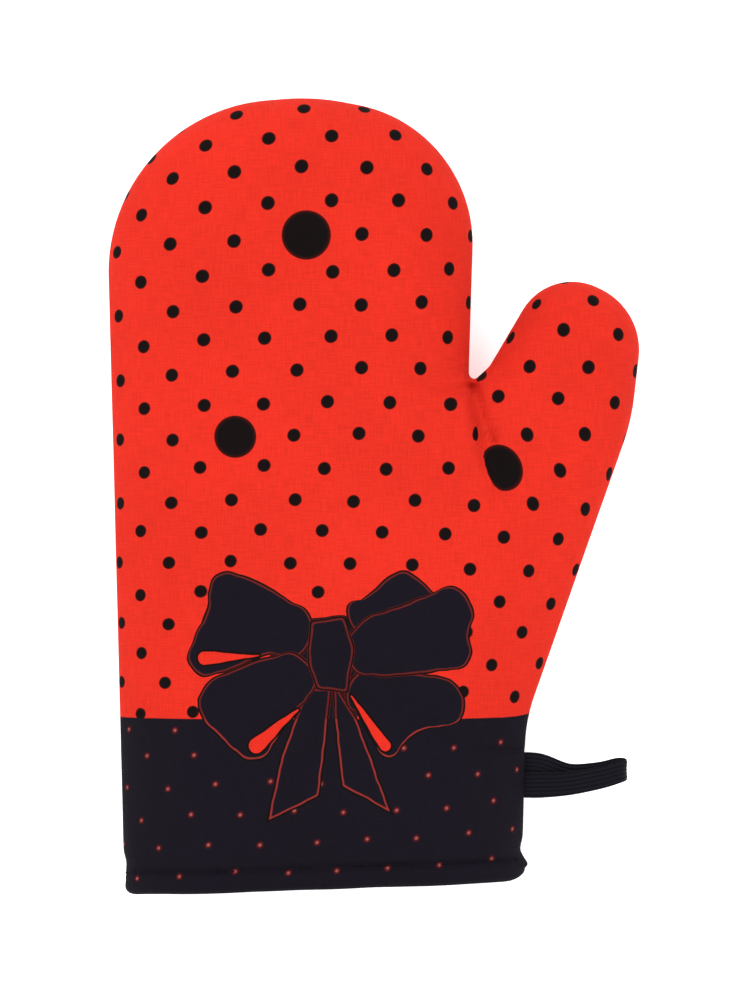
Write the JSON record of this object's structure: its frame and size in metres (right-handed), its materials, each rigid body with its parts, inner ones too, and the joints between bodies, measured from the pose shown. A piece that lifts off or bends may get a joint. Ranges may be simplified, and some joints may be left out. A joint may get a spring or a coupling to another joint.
{
  "type": "oven mitt",
  "caption": "Padded oven mitt with a separate thumb, printed cotton shell, turned hem and a hanging loop in the side seam.",
  "frame": {"origin": "under the middle of the mitt's outline, on the surface that its palm rests on", "axes": "+Z through the padding from palm to back, +Y from the mouth to the fingertips, +X to the thumb's side"},
  "size_m": [0.187, 0.2805, 0.036],
  "materials": {
    "printed_cotton": "woven cotton, printed red with black dots and a black cuff",
    "wadding": "lofty felted fibre",
    "lining_cotton": "plain natural cotton",
    "thread": "spun thread",
    "ribbed_tape": "ribbed elastic tape"
  },
  "bodies": {
    "mitt": {"shell_back": "printed_cotton", "shell_palm": "printed_cotton", "wadding_back": "wadding", "wadding_palm": "wadding", "lining_back": "lining_cotton", "lining_palm": "lining_cotton", "shell_seam_thread": "thread", "lining_seam_thread": "thread", "hem_topstitch": "thread", "loop_bar_tack": "thread", "loop_tails": "ribbed_tape"},
    "loop": {"hanging_loop": "ribbed_tape"}
  },
  "joints": [
    {"name": "loop_swing", "type": "hinge", "parent": "mitt", "child": "loop", "pos_m": [0.0551, -0.0978, 0.016], "axis": [0, -1, 0], "range_deg": [-90, 90], "stiffness_Nm_per_rad": 0.004}
  ]
}
